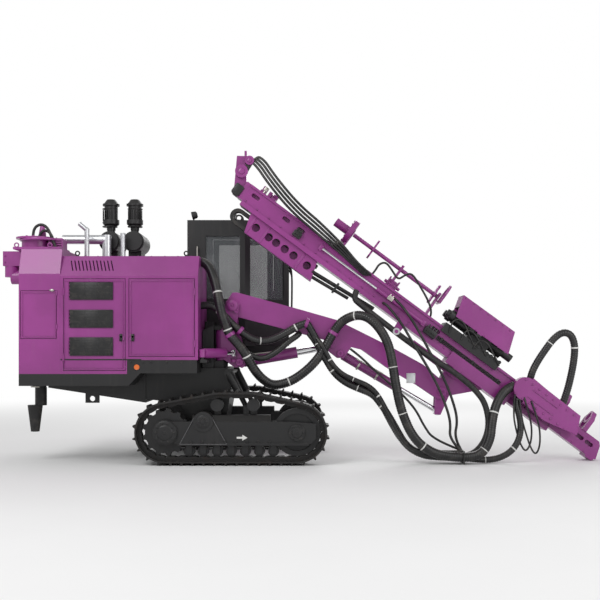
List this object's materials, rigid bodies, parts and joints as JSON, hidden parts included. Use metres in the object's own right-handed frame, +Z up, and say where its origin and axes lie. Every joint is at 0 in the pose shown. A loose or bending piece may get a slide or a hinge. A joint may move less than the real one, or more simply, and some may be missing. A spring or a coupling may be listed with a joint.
{
  "type": "crawler drilling rig",
  "caption": "Diesel crawler drilling rig with engine canopy, cab, hydraulic boom and sloping feed beam, standing on its two tracks in its transport pose.",
  "frame": {"origin": "on the ground, at the middle of the rig's length and width", "axes": "+X forward towards the feed's foot, +Y to the rig's left, +Z up"},
  "size_m": [7.7543, 2.228, 4.0698],
  "materials": {
    "purple_paint": "satin",
    "black_paint": "satin",
    "track_steel": "rough",
    "cylinder_paint": "satin",
    "chrome": "polished",
    "silver_pipe": "brushed",
    "rubber": "matte",
    "seat": "matte",
    "glass": "clear",
    "lamp": "glossy"
  },
  "bodies": {
    "carrier": {"track_right": "track_steel", "track_left": "track_steel", "sprockets": "black_paint", "idlers": "black_paint", "track_rollers": "black_paint", "track_frames": "black_paint", "chassis": "black_paint", "levelling_cylinders": "black_paint", "deck": "black_paint", "side_lamps": "lamp", "canopy": "purple_paint", "cooler_grille": "black_paint", "engine_block": "black_paint", "dust_collector": "purple_paint", "dust_fan": "purple_paint", "dust_inlet": "purple_paint", "dust_sleeve": "rubber", "air_cleaners": "black_paint", "precleaners": "black_paint", "roof_pipes": "silver_pipe", "cab": "black_paint", "cab_windows": "glass", "cab_seat": "seat", "cab_console": "black_paint", "valve_cabinet": "black_paint"},
    "engine_door_rear": {"engine_door_rear": "purple_paint"},
    "engine_door_front": {"engine_door_front": "purple_paint"},
    "engine_door_left": {"engine_door_left": "purple_paint"},
    "dust_door": {"dust_door": "purple_paint"},
    "cab_door": {"cab_door": "black_paint", "cab_door_glass": "glass"},
    "boom_post": {"boom_post": "purple_paint"},
    "boom": {"boom": "purple_paint"},
    "lift_barrel": {"lift_cylinder_barrel": "cylinder_paint"},
    "lift_rod": {"lift_cylinder_rod": "chrome"},
    "tilt_barrel": {"tilt_cylinder_barrel": "cylinder_paint"},
    "tilt_rod": {"tilt_cylinder_rod": "chrome"},
    "swing_barrel": {"swing_cylinder_barrel": "purple_paint"},
    "swing_rod": {"swing_cylinder_rod": "chrome"},
    "cradle": {"cradle": "purple_paint", "extension_barrel": "purple_paint"},
    "feed": {"feed_beam": "purple_paint", "hose_channel": "purple_paint", "drag_chain": "rubber", "feed_top": "purple_paint", "magazine_stands": "purple_paint", "hose_hoop": "purple_paint", "suction_hood": "purple_paint", "rod_support": "purple_paint", "extension_rod": "chrome"},
    "rotary_head": {"rotary_head": "black_paint", "head_guard": "purple_paint"},
    "rod_magazine": {"rod_magazine": "purple_paint"}
  },
  "joints": [
    {"name": "swing", "type": "hinge", "parent": "carrier", "child": "boom_post", "pos_m": [-1.064, -0.45, 1.4], "axis": [0, 0, 1], "range_deg": [-30, 30]},
    {"name": "boom_lift", "type": "hinge", "parent": "boom_post", "child": "boom", "pos_m": [-0.919, -0.45, 2.027], "axis": [0, -1, 0], "range_deg": [0, 45]},
    {"name": "feed_tilt", "type": "hinge", "parent": "boom", "child": "cradle", "pos_m": [1.822, -0.45, 0.907], "axis": [0, 1, 0], "range_deg": [-4, 70]},
    {"name": "feed_extension", "type": "slide", "parent": "cradle", "child": "feed", "axis": [-0.8039, 0, 0.5948], "range_m": [0, 0.6]},
    {"name": "head_travel", "type": "slide", "parent": "feed", "child": "rotary_head", "axis": [-0.8039, 0, 0.5948], "range_m": [0, 2.4]},
    {"name": "magazine_turn", "type": "hinge", "parent": "feed", "child": "rod_magazine", "pos_m": [0.69308, -0.04, 3.01304], "axis": [0.8039, 0, -0.5948], "continuous": true},
    {"name": "rear_door_swing", "type": "hinge", "parent": "carrier", "child": "engine_door_rear", "pos_m": [-2.993, -1.1, 1.7], "axis": [0, 0, -1], "range_deg": [0, 85]},
    {"name": "front_door_swing", "type": "hinge", "parent": "carrier", "child": "engine_door_front", "pos_m": [-1.354, -1.1, 1.7], "axis": [0, 0, 1], "range_deg": [0, 85]},
    {"name": "left_door_swing", "type": "hinge", "parent": "carrier", "child": "engine_door_left", "pos_m": [-2.993, 1.1, 1.7], "axis": [0, 0, 1], "range_deg": [0, 85]},
    {"name": "dust_door_swing", "type": "hinge", "parent": "carrier", "child": "dust_door", "pos_m": [-3.081, -1.1, 1.9], "axis": [0, 0, 1], "range_deg": [0, 85]},
    {"name": "cab_door_swing", "type": "hinge", "parent": "carrier", "child": "cab_door", "pos_m": [-1.317, 1.08, 2.2], "axis": [0, 0, 1], "range_deg": [0, 85]},
    {"name": "lift_barrel_pivot", "type": "hinge", "parent": "boom_post", "child": "lift_barrel", "pos_m": [-0.827, -0.45, 1.289], "axis": [0, -1, 0], "range_deg": [0, 45]},
    {"name": "lift_rod_slide", "type": "slide", "parent": "lift_barrel", "child": "lift_rod", "axis": [0.9855, 0, 0.1696], "range_m": [0, 0.6]},
    {"name": "tilt_barrel_pivot", "type": "hinge", "parent": "boom", "child": "tilt_barrel", "pos_m": [0.491, -0.45, 1.402], "axis": [0, -1, 0], "range_deg": [-6, 6]},
    {"name": "tilt_rod_slide", "type": "slide", "parent": "tilt_barrel", "child": "tilt_rod", "axis": [0.8598, 0, -0.5106], "range_m": [-0.4, 0.05]},
    {"name": "swing_barrel_pivot", "type": "hinge", "parent": "carrier", "child": "swing_barrel", "pos_m": [-1.262, -1.05, 1.408], "axis": [0, 0, 1], "range_deg": [-10, 10]},
    {"name": "swing_rod_slide", "type": "slide", "parent": "swing_barrel", "child": "swing_rod", "axis": [0.6619, 0.7496, 0], "range_m": [-0.18, 0.18]}
  ],
  "couplings": [
    {"joint": "lift_barrel_pivot", "follows": "boom_lift", "ratio": 0.8527},
    {"joint": "lift_rod_slide", "follows": "boom_lift", "m_per_rad": 0.6992},
    {"joint": "tilt_barrel_pivot", "follows": "feed_tilt", "ratio": 0.0266},
    {"joint": "tilt_rod_slide", "follows": "feed_tilt", "m_per_rad": -0.2544},
    {"joint": "swing_barrel_pivot", "follows": "swing", "ratio": -0.0791},
    {"joint": "swing_rod_slide", "follows": "swing", "m_per_rad": 0.24}
  ]
}
